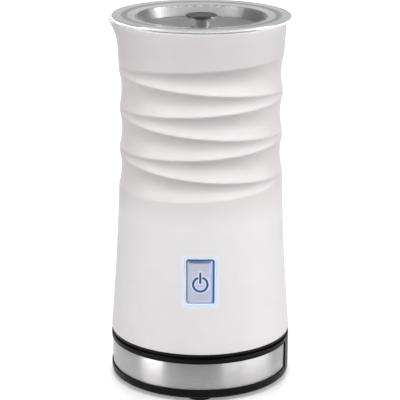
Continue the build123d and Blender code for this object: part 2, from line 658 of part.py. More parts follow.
def whisk_coil():
    return Pos(0, 0, COIL_Z) * Torus(COIL_AT, COIL_R)


NODES = [
    base_bottom, base_top, steel_band, base_connector, base_contact_sleeve, base_contact_rings, base_feet,
    base_screws, cord_gland, outer_shell, jug_bottom_cover, cover_screws, inner_pot, pot_gasket, pivot_pin,
    jug_connector, jug_contact_pin, jug_contact_rings, heater_plate, heater_element, thermostat, motor_bracket,
    bracket_nuts, motor_screws, motor_can, motor_field_magnets, motor_end_cap, motor_bushes, motor_shaft,
    motor_armature, magnet_carrier, drive_magnets, control_board, board_screws, relay, filter_capacitor,
    suppression_capacitor, terminal_block, switch_board, switch_housing, switch_plunger, status_leds,
    button_light_frame, button_cap, power_symbol, lid_dish, lid_knob, lid_seal, whisk_hub, whisk_magnets,
    whisk_frame, whisk_coil,
]

os.makedirs("parts", exist_ok=True)
for node in NODES:
    export_step(node(), f"parts/{node.__name__}.step")
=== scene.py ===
import json
import math
import bpy
import numpy as np
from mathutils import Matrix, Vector


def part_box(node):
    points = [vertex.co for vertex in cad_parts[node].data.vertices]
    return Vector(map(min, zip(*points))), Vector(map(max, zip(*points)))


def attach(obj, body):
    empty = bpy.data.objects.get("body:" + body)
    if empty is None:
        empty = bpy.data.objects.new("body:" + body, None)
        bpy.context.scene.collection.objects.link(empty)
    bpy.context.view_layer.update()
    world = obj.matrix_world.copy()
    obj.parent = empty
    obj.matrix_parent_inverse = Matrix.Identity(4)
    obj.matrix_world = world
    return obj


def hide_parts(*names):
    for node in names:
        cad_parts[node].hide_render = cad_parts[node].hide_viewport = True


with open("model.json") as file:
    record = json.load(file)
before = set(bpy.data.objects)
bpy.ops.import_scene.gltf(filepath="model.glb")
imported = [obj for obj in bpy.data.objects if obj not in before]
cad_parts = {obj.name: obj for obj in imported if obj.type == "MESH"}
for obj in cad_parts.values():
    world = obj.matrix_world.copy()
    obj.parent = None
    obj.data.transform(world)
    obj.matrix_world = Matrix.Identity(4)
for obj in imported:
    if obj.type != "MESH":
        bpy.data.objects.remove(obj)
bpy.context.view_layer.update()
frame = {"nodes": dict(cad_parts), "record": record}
NODES = frame["nodes"]
MM = 0.001

# Everything below is worked out in millimetres and written to meshes in metres.
# Angles called turn are in radians from the front (-Y), positive towards the right (+X).


def box_mm(node):
    """Lowest and highest corner of a CAD node, in millimetres."""
    low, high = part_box(node)
    return np.array(low) / MM, np.array(high) / MM


SHELL_LOW, SHELL_HIGH = box_mm("outer_shell")
SHELL_Z0, SHELL_Z1 = SHELL_LOW[2], SHELL_HIGH[2]
POT_LOW, POT_HIGH = box_mm("inner_pot")
# The shell widens from its waist to its foot and to its top.
FOOT_FLARE_R, WAIST_R, TOP_R = 50.0, 44.5, 46.3
WAIST_Z = 150.0
FLARE_POWER, COLLAR_POWER = 1.85, 2.2
# Wall at the mouth, and depth of the lining below the skin: plain, and from FOLDS_Z0 up.
WALL = 2.0
PLAIN_LINING, FOLDED_LINING, FOLDS_Z0 = 3.15, 3.8, 100.0
# Depth of the folds at the sides, what is added in front and behind, and the pitch it is meant for.
FOLD_DEPTH, FOLD_SWELL, FOLD_PITCH = 1.0, 1.3, 12.0
CREST_SHARPNESS = 8
LIP_REACH, LIP_HALF_WIDTH, LIP_Z0, LIP_POWER = 4.4, math.radians(19.0), 186.0, 2.2
FUNNEL_POWER = 1.5
# Roundings of the top edge, outside and inside, and the small chamfer round the foot.
TOP_ROUND, MOUTH_ROUND = 0.55, 0.4
FOOT_CUT_IN, FOOT_CUT_OUT, FOOT_CUT_H = 0.5, 0.12, 0.15
# The shelf that the pot hangs on.
POT_PLAY, SHELF_HOLE_R, SHELF_T = 0.1, 40.6, 3.0
# Steps of the mesh: columns round the jug, rows in plain and folded parts, and the span with close rows.
SHELL_COLUMNS, PLAIN_STEP, FOLDED_STEP, FOLDED_SPAN = 360, 1.25, 0.7, (106.0, 188.0)
# The patch cut out of the mesh for the window: columns on each side of the front, and room above and below.
PATCH_COLUMNS, PATCH_MARGIN = 13, 3.5
# Heights of each fold's crest at the left side, the front and the right side of the jug.
CRESTS = [
    (177.5, 182.3, 185.3), (175.5, 170.2, 164.5), (155.0, 158.3, 162.0), (153.0, 146.4, 141.8),
    (132.5, 135.0, 139.5), (130.5, 123.2, 119.0), (110.5, 112.0, 117.5),
]

BUTTON_LOW, BUTTON_HIGH = box_mm("button_cap")
BUTTON_Z = (BUTTON_LOW[2] + BUTTON_HIGH[2]) / 2
BUTTON_W = BUTTON_HIGH[0] - BUTTON_LOW[0]
BUTTON_H = BUTTON_HIGH[2] - BUTTON_LOW[2]
# The lit frame's width, the play round the button, and how far the button's face lies below the skin.
FRAME_W, BUTTON_PLAY, BUTTON_SUNK = 0.7, 0.4, 0.5
# The button hangs by this much to the left and down in its window.
BUTTON_CORNER, BUTTON_HANG, BEVEL_W = 1.0, 0.22, 1.6
POCKET_DEPTH = 2.9
# Sizes of the loops that close a face, as shares of its outline.
SHRINKING = (0.86, 0.72, 0.58, 0.44, 0.3, 0.16, 0.05)
WINDOW_W = BUTTON_W + 2 * (BUTTON_PLAY + FRAME_W)
WINDOW_H = BUTTON_H + 2 * (BUTTON_PLAY + FRAME_W)
WINDOW_CORNER = BUTTON_CORNER + BUTTON_PLAY + FRAME_W
WINDOW_ROUND = 0.22
# The power symbol: its middle, its circle with half the gap at the top, and its bar above the middle.
SYMBOL_Z, SYMBOL_R, SYMBOL_STROKE, SYMBOL_GAP = 66.9, 3.85, 1.25, math.radians(24.0)
BAR_LOW, BAR_HIGH = 0.4, 6.7

LID_LOW, LID_HIGH = box_mm("lid_dish")
KNOB_LOW, KNOB_HIGH = box_mm("lid_knob")


# ---- mesh helpers --------------------------------------------------------------------------------
def add_piece(name, points, faces, body, replaces=(), sharp=40.0):
    """A smooth-shaded mesh object from points in millimetres, riding on a CAD body."""
    mesh = bpy.data.meshes.new(name)
    in_metres = np.asarray(points, float) * MM
    mesh.from_pydata([tuple(p) for p in in_metres], [], [tuple(map(int, f)) for f in faces])
    mesh.validate()
    mesh.polygons.foreach_set("use_smooth", [True] * len(mesh.polygons))
    mesh.set_sharp_from_angle(angle=math.radians(sharp))
    mesh.update()
    piece = bpy.data.objects.new(name, mesh)
    bpy.context.scene.collection.objects.link(piece)
    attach(piece, body)
    if replaces:
        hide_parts(*replaces)
    return piece


def rounded(corners, steps=6, closed=True):
    """Outline in (radius, height) from corners (radius, height, rounding); each rounding is a small arc."""
    out = []
    count = len(corners)
    for i, (x, y, round_r) in enumerate(corners):
        here = np.array([x, y], float)
        ends = not closed and i in (0, count - 1)
        if round_r <= 0 or ends:
            out.append(here)
            continue
        before = np.array(corners[i - 1][:2], float) - here
        after = np.array(corners[(i + 1) % count][:2], float) - here
        len_b, len_a = np.linalg.norm(before), np.linalg.norm(after)
        before, after = before / len_b, after / len_a
        half = math.acos(max(-1.0, min(1.0, float(before @ after)))) / 2
        reach = min(round_r / math.tan(half), 0.49 * len_b, 0.49 * len_a)
        radius = reach * math.tan(half)
        centre = here + (before + after) / np.linalg.norm(before + after) * radius / math.sin(half)
        start, stop = here + before * reach - centre, here + after * reach - centre
        a0, a1 = math.atan2(start[1], start[0]), math.atan2(stop[1], stop[0])
        sweep = (a1 - a0 + math.pi) % (2 * math.pi) - math.pi
        for k in range(steps + 1):
            a = a0 + sweep * k / steps
            out.append(centre + radius * np.array([math.cos(a), math.sin(a)]))
    return np.array(out)


def grid_faces(rows, columns, wrap_rows=False, wrap_columns=True, base=0):
    """Quads between points stored row by row."""
    faces = []
    for j in range(rows if wrap_rows else rows - 1):
        lower, upper = base + j * columns, base + ((j + 1) % rows) * columns
        for i in range(columns if wrap_columns else columns - 1):
            k = (i + 1) % columns
            faces.append((lower + i, lower + k, upper + k, upper + i))
    return faces


def lathe(outline, segments=192, start=0.0, stop=2 * math.pi):
    """Points and faces of a closed (radius, height) outline turned about the jug's axis."""
    full = abs(stop - start - 2 * math.pi) < 1e-9
    turns = np.linspace(start, stop, segments, endpoint=not full)
    points, faces, rows = [], [], []
    for r, z in outline:
        if r < 1e-6:
            rows.append([len(points)] * segments)
            points.append((0.0, 0.0, z))
        else:
            rows.append(list(range(len(points), len(points) + segments)))
            points += [(r * math.sin(t), -r * math.cos(t), z) for t in turns]
    count = len(rows)
    for j in range(count):
        a, b = rows[j], rows[(j + 1) % count]
        if a[0] == a[-1] and b[0] == b[-1]:
            continue
        for i in range(segments if full else segments - 1):
            k = (i + 1) % segments
            quad = [a[i], a[k], b[k], b[i]]
            faces.append(list(dict.fromkeys(quad)))
    if not full:
        faces.append([row[0] for row in rows])
        faces.append([row[-1] for row in reversed(rows)])
    return points, faces


# ---- form of the jug's shell ---------------------------------------------------------------------
def body_r(z):
    """Radius over the fold crests: widest at the foot, a waist, and a collar that opens a little."""
    z = np.asarray(z, float)
    low = np.clip((WAIST_Z - z) / (WAIST_Z - SHELL_Z0), 0, 1) ** FLARE_POWER
    high = np.clip((z - WAIST_Z) / (SHELL_Z1 - WAIST_Z), 0, 1) ** COLLAR_POWER
    return WAIST_R + (FOOT_FLARE_R - WAIST_R) * low + (TOP_R - WAIST_R) * high


def crest_z(crest, turn):
    """Height of a fold's crest: it runs from side to side and comes back the same way behind."""
    left, front, right = crest
    side = np.arcsin(0.98 * np.sin(turn)) / math.asin(0.98)
    return front + (right - left) / 2 * side + ((right + left) / 2 - front) * side ** 2


def fold(turn, z):
    """How far the surface lies below the crests: a hollow between each two crests."""
    depth_here = np.zeros(np.broadcast(turn, z).shape)
    full_depth = FOLD_DEPTH + FOLD_SWELL * (1 - np.sin(turn) ** 4)
    for upper, lower in zip(CRESTS, CRESTS[1:]):
        z_upper, z_lower = crest_z(upper, turn), crest_z(lower, turn)
        inside = (z >= z_lower) & (z <= z_upper)
        off_middle = np.clip(np.abs(2 * (z_upper - z) / (z_upper - z_lower) - 1), 0, 1)
        depth = full_depth * np.minimum(1.2, (z_upper - z_lower) / FOLD_PITCH)
        hollow = depth * (1 - off_middle ** 2) * (1 - off_middle ** CREST_SHARPNESS)
        depth_here = np.where(inside, hollow, depth_here)
    return depth_here


def lip(turn, z):
    """Extra radius of the pouring lip on the left."""
    away = (turn + math.pi / 2 + math.pi) % (2 * math.pi) - math.pi
    rise = np.clip((z - LIP_Z0) / (SHELL_Z1 - LIP_Z0), 0, 1)
    return LIP_REACH * rise ** LIP_POWER * np.exp(-((away / LIP_HALF_WIDTH) ** 2))


def outer_r(turn, z):
    return body_r(z) - fold(turn, z) + lip(turn, z)


def funnel_r(turn, z):
    """Inside of the jug's mouth: a plain circle at the pot's rim, opening to the lip."""
    seat_r, seat_z = POT_HIGH[0] + POT_PLAY, POT_HIGH[2]
    rise = np.clip((z - seat_z) / (SHELL_Z1 - seat_z), 0, 1)
    open_r = body_r(SHELL_Z1) + lip(turn, SHELL_Z1) - WALL
    return seat_r + (open_r - seat_r) * rise ** FUNNEL_POWER


def on_skin(x, z, inward):
    """Point on the shell's front, a given depth below its skin."""
    r = body_r(z) - inward
    return np.stack([x, -np.sqrt(np.maximum(r ** 2 - x ** 2, 0)), z], axis=-1)


def rounded_rect(angles, width, height, corner):
    """Points of an upright rounded rectangle about the button's centre, one along each direction."""
    dx, dz = np.cos(angles), np.sin(angles)
    low, high = np.zeros_like(dx), np.full_like(dx, width + height)
    for _ in range(40):
        mid = (low + high) / 2
        qx = np.abs(dx * mid) - (width / 2 - corner)
        qz = np.abs(dz * mid) - (height / 2 - corner)
        past_corner = np.hypot(np.maximum(qx, 0), np.maximum(qz, 0))
        outside = past_corner + np.minimum(np.maximum(qx, qz), 0) > corner
        low, high = np.where(outside, low, mid), np.where(outside, mid, high)
    return dx * low, dz * low


def shell_levels():
    """Heights of the shell's rows: close together where the folds are."""
    start, stop = FOLDED_SPAN
    below = np.arange(SHELL_Z0 + 0.5, start, PLAIN_STEP)
    folded = np.arange(start, stop, FOLDED_STEP)
    above = np.arange(stop, SHELL_Z1 - TOP_ROUND, FOLDED_STEP)
    return np.concatenate([below, folded, above])


def jug_shell():
    """The folded white casing, with its pouring lip, the mouth above the pot and the button's window."""
    columns = SHELL_COLUMNS
    turns = np.linspace(-math.pi, math.pi, columns, endpoint=False)
    levels = shell_levels()
    rows, heights = [], []

    def add_row(radius, z):
        rows.append(np.broadcast_to(radius, columns))
        heights.append(np.full(columns, z))

    for z in levels:
        add_row(outer_r(turns, z), z)
    for a in np.linspace(0, math.pi / 2, 6)[1:]:
        add_row(outer_r(turns, SHELL_Z1) - TOP_ROUND * (1 - math.cos(a)),
                SHELL_Z1 - TOP_ROUND + TOP_ROUND * math.sin(a))
    for a in np.linspace(0, math.pi / 2, 5):
        add_row(funnel_r(turns, SHELL_Z1) + MOUTH_ROUND * (1 - math.sin(a)),
                SHELL_Z1 - MOUTH_ROUND * (1 - math.cos(a)))
    for z in np.linspace(SHELL_Z1 - 0.6, POT_HIGH[2], 8):
        add_row(funnel_r(turns, z), z)
    seat_z = box_mm("pot_gasket")[0][2]
    add_row(POT_HIGH[0] + POT_PLAY, seat_z)
    add_row(SHELF_HOLE_R, seat_z)
    add_row(SHELF_HOLE_R, seat_z - SHELF_T)
    for z in np.linspace(seat_z - SHELF_T, SHELL_Z0, 24):
        add_row(body_r(z) - (PLAIN_LINING if z < FOLDS_Z0 else FOLDED_LINING), z)
    add_row(body_r(SHELL_Z0) - FOOT_CUT_IN, SHELL_Z0)
    add_row(body_r(SHELL_Z0) - FOOT_CUT_OUT, SHELL_Z0 + FOOT_CUT_H)
    r, z = np.array(rows), np.array(heights)
    points = np.stack([r * np.sin(turns), -r * np.cos(turns), z], axis=-1).reshape(-1, 3)
    faces = grid_faces(len(rows), columns, wrap_rows=True)
    # The patch of quads around the window is taken out and filled by rings that end on its outline.
    left, right = columns // 2 - PATCH_COLUMNS, columns // 2 + PATCH_COLUMNS
    lower = int(np.searchsorted(levels, BUTTON_Z - WINDOW_H / 2 - PATCH_MARGIN))
    upper = int(np.searchsorted(levels, BUTTON_Z + WINDOW_H / 2 + PATCH_MARGIN))
    kept = []
    for n, face in enumerate(faces):
        j, i = divmod(n, columns)
        if not (lower <= j < upper and left <= i < right):
            kept.append(face)
    border = [lower * columns + i for i in range(left, right)]
    border += [j * columns + right for j in range(lower, upper)]
    border += [upper * columns + i for i in range(right, left, -1)]
    border += [j * columns + left for j in range(upper, lower, -1)]
    return window_rings(points, kept, border)


def window_rings(points, faces, border):
    """Fills the space between a border of mesh points and the window, then the window's walls and back."""
    edge = points[border]
    angles = np.arctan2(edge[:, 2] - BUTTON_Z, edge[:, 0])
    rim = WINDOW_ROUND
    hole_x, hole_z = rounded_rect(angles, WINDOW_W + 2 * rim, WINDOW_H + 2 * rim, WINDOW_CORNER + rim)
    inner_x, inner_z = rounded_rect(angles, WINDOW_W, WINDOW_H, WINDOW_CORNER)
    rings = []
    for share in (0.25, 0.5, 0.72, 0.88, 1.0):
        x = edge[:, 0] + (hole_x - edge[:, 0]) * share
        z = edge[:, 2] + (hole_z + BUTTON_Z - edge[:, 2]) * share
        rings.append(on_skin(x, z, 0.0))
    rings.append(on_skin((hole_x + inner_x) / 2, (hole_z + inner_z) / 2 + BUTTON_Z, 0.07))
    for depth in (rim, 1.2, POCKET_DEPTH):
        rings.append(on_skin(inner_x, inner_z + BUTTON_Z, depth))
    for share in SHRINKING:
        rings.append(on_skin(inner_x * share, inner_z * share + BUTTON_Z, POCKET_DEPTH))
    count = len(border)
    base = len(points)
    points = np.concatenate([points] + rings)
    starts = [base + k * count for k in range(len(rings))]
    names = [list(border)] + [list(range(start, start + count)) for start in starts]
    for a, b in zip(names, names[1:]):
        for i in range(count):
            k = (i + 1) % count
            faces.append((a[i], a[k], b[k], b[i]))
    faces.append(tuple(names[-1]))
    return points, faces


# ---- button --------------------------------------------------------------------------------------
def skin_loops(path, width, height, corner, count=160, shift=0.0, closed=False):
    """Loops of rounded rectangles that follow the shell's front: path holds (inset, depth) pairs.

    shift moves them to the left and down by the same distance. A closed form also gets smaller loops
    at both ends of the path, which close its back and its face."""
    angles = np.linspace(0, 2 * math.pi, count, endpoint=False)

    def loop(inset, depth, share=1.0):
        x, z = rounded_rect(angles, width - 2 * inset, height - 2 * inset, max(corner - inset, 0.25))
        return on_skin(x * share - shift, z * share - shift + BUTTON_Z, depth)

    loops = [loop(inset, depth) for inset, depth in path]
    if closed:
        loops = [loop(*path[0], share) for share in SHRINKING[::-1]] + loops
        loops += [loop(*path[-1], share) for share in SHRINKING]
    return loops, count


def light_frame():
    """The lit ring between the shell and the button."""
    w = FRAME_W
    path = [(0.02, 2.6), (0.02, 0.02), (0.1, -0.09), (0.25, -0.15), (w - 0.25, -0.15), (w - 0.1, -0.09),
            (w, 0.02), (w, 2.6)]
    loops, count = skin_loops(path, WINDOW_W, WINDOW_H, WINDOW_CORNER)
    return np.concatenate(loops), grid_faces(len(loops), count, wrap_rows=True)


def button():
    """The push button: a bevel round a flat face, hung a little low and to the left in its window."""
    sunk = BUTTON_SUNK
    path = [(0.0, 1.9), (0.0, sunk + 0.62), (0.06, sunk + 0.52), (0.2, sunk + 0.44),
            (BEVEL_W - 0.2, sunk + 0.05), (BEVEL_W, sunk), (BEVEL_W + 0.25, sunk)]
    loops, count = skin_loops(path, BUTTON_W - 2 * BUTTON_HANG, BUTTON_H - 2 * BUTTON_HANG,
                              BUTTON_CORNER, shift=BUTTON_HANG, closed=True)
    points = np.concatenate(loops)
    faces = grid_faces(len(loops), count)
    faces.append(tuple(range(len(points) - count, len(points))))
    faces.append(tuple(reversed(range(count))))
    return points, faces


def stroke(path, width):
    """A rounded bead of the given width along a path of (x, z) points on the button's face."""
    path = np.array(path, float)
    along = np.gradient(path, axis=0)
    along /= np.linalg.norm(along, axis=1)[:, None]
    side = np.stack([-along[:, 1], along[:, 0]], axis=-1)
    half = width / 2
    ends = [math.sin(a) for a in np.linspace(0, math.pi / 2, 7)]
    reach = [half * math.cos(math.asin(e)) for e in ends]
    first = [(path[0] - along[0] * far, side[0], e) for e, far in zip(ends, reach)]
    last = [(path[-1] + along[-1] * far, side[-1], e) for e, far in zip(ends[::-1], reach[::-1])]
    middle = [(p, across, 1.0) for p, across in zip(path, side)]
    # Cross-section of the bead: offset to the side as a share of half the width, and depth below the face.
    bead = [(-1.0, 0.3), (-1.0, -0.01), (-0.85, -0.05), (0.85, -0.05), (1.0, -0.01), (1.0, 0.3)]
    sections = []
    for p, across, share in first + middle[1:-1] + last:
        spread = max(share, 0.02) * half
        spots = [(p + across * offset * spread, depth) for offset, depth in bead]
        sections.append(np.array([on_skin(x, z, BUTTON_SUNK + depth) for (x, z), depth in spots]))
    points = np.concatenate(sections)
    sides = len(bead)
    faces = grid_faces(len(sections), sides)
    faces.append(tuple(reversed(range(sides))))
    faces.append(tuple(range(len(points) - sides, len(points))))
    return points, faces


def power_mark():
    """The generic power symbol: a broken circle and an upright bar."""
    sweep = np.linspace(math.pi / 2 + SYMBOL_GAP, 5 * math.pi / 2 - SYMBOL_GAP, 72)
    circle = [(SYMBOL_R * math.cos(a), SYMBOL_Z + SYMBOL_R * math.sin(a)) for a in sweep]
    half = SYMBOL_STROKE / 2
    heights = np.linspace(SYMBOL_Z + BAR_LOW + half, SYMBOL_Z + BAR_HIGH - half, 12)
    points_c, faces_c = stroke(circle, SYMBOL_STROKE)
    points_b, faces_b = stroke([(0.0, z) for z in heights], SYMBOL_STROKE)
    first = len(points_c)
    faces_b = [tuple(i + first for i in face) for face in faces_b]
    return np.concatenate([points_c, points_b]), faces_c + faces_b


# ---- lid -----------------------------------------------------------------------------------------
DISH_EDGE_R, DISH_EDGE_Z, DISH_FLOOR_R, DISH_FLOOR_Z, DISH_T = 35.8, 204.2, 33.0, 198.0, 1.6
SKIRT_R, SKIRT_T, SEAL_GROOVE = 38.6, 1.7, 0.7
STEM_R, STEM_BORE_R, KNOB_T = 5.15, 3.6, 1.6
RIM_GAP = 0.3


def lid_dish():
    """The clear lid: rim, shoulder, dish, hollow stem under the knob, and skirt with the seal's groove."""
    seal_low, seal_high = box_mm("lid_seal")
    rim_r, rim_z0, rim_z1 = LID_HIGH[0], SHELL_Z1 + RIM_GAP, LID_HIGH[2]
    skirt_in = SKIRT_R - SKIRT_T
    groove = SKIRT_R - SEAL_GROOVE
    stem_top = KNOB_HIGH[2] - KNOB_T
    corners = [
        (0, DISH_FLOOR_Z, 0), (STEM_BORE_R, DISH_FLOOR_Z, 0.4), (STEM_BORE_R, stem_top, 0),
        (STEM_R, stem_top, 0), (STEM_R, DISH_FLOOR_Z, 0.9), (DISH_FLOOR_R, DISH_FLOOR_Z, 1.2),
        (DISH_EDGE_R, DISH_EDGE_Z, 0.7), (rim_r - 1.5, rim_z1, 0.8), (rim_r, rim_z1, 0.9),
        (rim_r, rim_z0, 0.5), (SKIRT_R, rim_z0, 0.4), (SKIRT_R, seal_high[2], 0),
        (groove, seal_high[2], 0), (groove, seal_low[2], 0), (SKIRT_R, seal_low[2], 0),
        (SKIRT_R, LID_LOW[2], 0.5), (skirt_in, LID_LOW[2], 0.5),
        (skirt_in, rim_z0 - 0.6, 0.5), (DISH_FLOOR_R + 1.3, DISH_FLOOR_Z - DISH_T, 1.0),
        (0, DISH_FLOOR_Z - DISH_T, 0),
    ]
    return lathe(rounded(corners, closed=False), segments=384)


def lid_knob():
    """The knob's round cap, a little hollow on top, and the plug that holds it in the stem."""
    low, high = KNOB_LOW[2], KNOB_HIGH[2]
    under, r = high - KNOB_T, KNOB_HIGH[0]
    corners = [
        (0, high - 0.15, 0), (r - 1.6, high, 1.0), (r, high, 0.5), (r, under, 0.5),
        (STEM_BORE_R, under, 0.1), (STEM_BORE_R, low, 0.3), (0, low, 0),
    ]
    return lathe(rounded(corners, closed=False), segments=96)


def lid_seal():
    """The seal: a band in the skirt's groove with two ribs that bear on the pot."""
    low, high = box_mm("lid_seal")
    root, face, tip = SKIRT_R - SEAL_GROOVE, SKIRT_R, high[0]
    z0, z1 = low[2], high[2]
    corners = [
        (root, z0, 0), (face, z0, 0.1), (face, z0 + 0.5, 0.1), (tip, z0 + 0.8, 0.15),
        (tip, z0 + 1.2, 0.15), (face, z0 + 1.5, 0.1), (face, z1 - 1.5, 0.1), (tip, z1 - 1.2, 0.15),
        (tip, z1 - 0.8, 0.15), (face, z1 - 0.5, 0.1), (face, z1, 0.1), (root, z1, 0),
    ]
    return lathe(rounded(corners, steps=3))


# ---- base ----------------------------------------------------------------------------------------
GAP_MIDDLE, GAP_WIDTH = math.radians(110.0), math.radians(75.0)
BAND_T, BAND_ROUND = 0.6, 0.2


def steel_band():
    """The C-shaped band: a ring with a gap at the right-hand back."""
    low, high = box_mm("steel_band")
    outer, inner = high[1], high[1] - BAND_T
    corners = [(inner, low[2], 0), (inner, high[2], 0), (outer, high[2], BAND_ROUND),
               (outer, low[2], BAND_ROUND)]
    start = GAP_MIDDLE + GAP_WIDTH / 2
    stop = start + 2 * math.pi - GAP_WIDTH
    return lathe(rounded(corners, steps=3), segments=240, start=start, stop=stop)


# ---- pot and whisk -------------------------------------------------------------------------------
POT_WALL, POT_INSIDE_R = 0.8, 39.5


def inner_pot():
    """The pot: a low ring in its floor round the pivot pin, and a flange that rests on the gasket."""
    wall, rim_r, rim_z = POT_WALL, POT_HIGH[0], POT_HIGH[2]
    inside_r, floor_z = POT_INSIDE_R, POT_LOW[2] + wall
    corners = [
        (0, floor_z, 0), (8.0, floor_z, 4.0), (9.2, floor_z + 0.35, 1.0), (10.4, floor_z, 1.0),
        (inside_r, floor_z, 5.0), (inside_r, rim_z, 0.9), (rim_r, rim_z, 0.3), (rim_r, rim_z - wall, 0.3),
        (inside_r + wall, rim_z - wall, 0.3), (inside_r + wall, POT_LOW[2], 5.8), (0, POT_LOW[2], 0),
    ]
    return lathe(rounded(corners, steps=8, closed=False))


def whisk_coil():
    """The whisk proper: a spring of round wire bent into a ring."""
    low, high = box_mm("whisk_coil")
    half = (high[2] - low[2]) / 2
    middle_z = (high[2] + low[2]) / 2
    ring_r = high[0] - half
    wire_r, loops, steps_per_loop, sides = 0.38, 54, 20, 8
    coil_r = half - wire_r - 0.03
    count = loops * steps_per_loop
    s = np.linspace(0, 2 * math.pi, count, endpoint=False)
    phase = loops * s
    r = ring_r + coil_r * np.cos(phase)
    centre = np.stack([r * np.sin(s), -r * np.cos(s), middle_z + coil_r * np.sin(phase)], axis=-1)
    along = np.roll(centre, -1, axis=0) - np.roll(centre, 1, axis=0)
    along /= np.linalg.norm(along, axis=1)[:, None]
    hub = np.stack([ring_r * np.sin(s), -ring_r * np.cos(s), np.full(count, middle_z)], axis=-1)
    outward = centre - hub
    outward -= (outward * along).sum(1)[:, None] * along
    outward /= np.linalg.norm(outward, axis=1)[:, None]
    across = np.cross(along, outward)
    points = []
    for a in np.linspace(0, 2 * math.pi, sides, endpoint=False):
        points.append(centre + wire_r * (math.cos(a) * outward + math.sin(a) * across))
    points = np.stack(points, axis=1).reshape(-1, 3)
    return points, grid_faces(count, sides, wrap_rows=True)


# ---- shader nodes --------------------------------------------------------------------------------
def feed(tree, made, inputs):
    """Gives inputs of a node, by name or number, a value or another node's socket."""
    for key, value in inputs.items():
        if isinstance(value, bpy.types.NodeSocket):
            tree.links.new(value, made.inputs[key])
        else:
            made.inputs[key].default_value = value


def node(tree, kind, inputs=None, **settings):
    """Adds a shader node with its settings and inputs."""
    made = tree.nodes.new(kind)
    for key, value in settings.items():
        setattr(made, key, value)
    feed(tree, made, inputs or {})
    return made


def rgba(colour):
    """A colour as a socket takes it; another node's socket stays as it is."""
    return colour if isinstance(colour, bpy.types.NodeSocket) else (*colour, 1)


def new_material(name):
    """An empty Principled material: returns it with its node tree and its shader."""
    made = bpy.data.materials.new(name)
    made.use_nodes = True
    tree = made.node_tree
    tree.nodes.clear()
    shader = node(tree, "ShaderNodeBsdfPrincipled")
    output = node(tree, "ShaderNodeOutputMaterial")
    tree.links.new(shader.outputs["BSDF"], output.inputs["Surface"])
    return made, tree, shader


def base_colour(shader):
    """The socket that a shader's base colour comes from."""
    return shader.inputs["Base Color"].links[0].from_socket


def place(tree):
    return node(tree, "ShaderNodeTexCoord").outputs["Object"]


def split_place(tree):
    """Position in millimetres as three sockets: x, y and z."""
    scaled = node(tree, "ShaderNodeVectorMath", {0: place(tree), 3: 1 / MM}, operation="SCALE")
    return node(tree, "ShaderNodeSeparateXYZ", {"Vector": scaled.outputs[0]}).outputs[:3]


def noise(tree, size_mm, detail=2.0, vector=None, roughness=0.5):
    """Noise whose features are about size_mm across."""
    made = node(tree, "ShaderNodeTexNoise", {"Vector": vector or place(tree), "Scale": 1 / (size_mm * MM),
                                             "Detail": detail, "Roughness": roughness})
    return made.outputs["Fac"]


def remap(tree, value, low, high, from_low=0.3, from_high=0.7):
    """Maps a span of a value onto low to high; the usual span is the one that noise fills."""
    made = node(tree, "ShaderNodeMapRange", {"Value": value, "From Min": from_low, "From Max": from_high,
                                             "To Min": low, "To Max": high})
    return made.outputs["Result"]


def rising(tree, value, start, stop):
    """0 up to start and 1 from stop on."""
    return remap(tree, value, 0.0, 1.0, start, stop)


def falling(tree, value, start, stop):
    """1 up to start and 0 from stop on."""
    return remap(tree, value, 1.0, 0.0, start, stop)


def mix_colour(tree, factor, first, second, blend="MIX"):
    made = node(tree, "ShaderNodeMix", {0: factor, 6: rgba(first), 7: rgba(second)}, data_type="RGBA",
                blend_type=blend)
    return made.outputs[2]


def math_node(tree, operation, *values):
    return node(tree, "ShaderNodeMath", dict(enumerate(values)), operation=operation).outputs[0]


def times(tree, a, b):
    return math_node(tree, "MULTIPLY", a, b)


def minus(tree, a, b):
    return math_node(tree, "SUBTRACT", a, b)


def larger(tree, a, b):
    return math_node(tree, "MAXIMUM", a, b)


def distance_from(tree, value, middle):
    return math_node(tree, "ABSOLUTE", minus(tree, value, middle))


def length_of(tree, a, b):
    """Length of a vector with components a and b."""
    return math_node(tree, "SQRT", math_node(tree, "ADD", times(tree, a, a), times(tree, b, b)))


def add_bump(tree, shader, height, height_mm):
    """Bump whose relief is height_mm where the height goes from 0 to 1."""
    bump = node(tree, "ShaderNodeBump", {"Height": height, "Distance": height_mm * MM, "Strength": 1.0})
    tree.links.new(bump.outputs["Normal"], shader.inputs["Normal"])


def tinted(colour, factor):
    return tuple(min(1.0, c * factor) for c in colour)


# ---- kinds of surface ----------------------------------------------------------------------------
def moulded(name, colour, roughness, grain_mm=0.35, relief_mm=0.004, mottle=0.04, specular=0.5):
    """Moulded plastic or rubber: fine grain, slightly uneven gloss and faint mottling."""
    made, tree, shader = new_material(name)
    tone = mix_colour(tree, remap(tree, noise(tree, 14.0, 3.0), 0, 1), tinted(colour, 1 - mottle),
                      tinted(colour, 1 + mottle))
    gloss = remap(tree, noise(tree, 3.0, 4.0), roughness - 0.05, roughness + 0.05)
    feed(tree, shader, {"Base Color": tone, "Roughness": gloss, "Specular IOR Level": specular})
    add_bump(tree, shader, noise(tree, grain_mm, 2.0), relief_mm)
    return made, tree, shader


# How slowly the marks change along their length: metres for each radian, and as a share of the height.
TURN_STRETCH = 0.0022
UPRIGHT_STRETCH = 0.02


def around_axis(tree):
    """Vector that is long around the jug's axis and fine along it, for marks left by turning."""
    x, y, z = node(tree, "ShaderNodeSeparateXYZ", {"Vector": place(tree)}).outputs[:3]
    along = times(tree, math_node(tree, "ARCTAN2", y, x), TURN_STRETCH)
    return node(tree, "ShaderNodeCombineXYZ", {0: along, 1: length_of(tree, x, y), 2: z}).outputs[0]


def upright_streaks(tree):
    """Vector that is long along Z and fine across it, for a face brushed up and down."""
    stretch = {"Vector": place(tree), "Scale": (1, 1, UPRIGHT_STRETCH)}
    return node(tree, "ShaderNodeMapping", stretch).outputs[0]


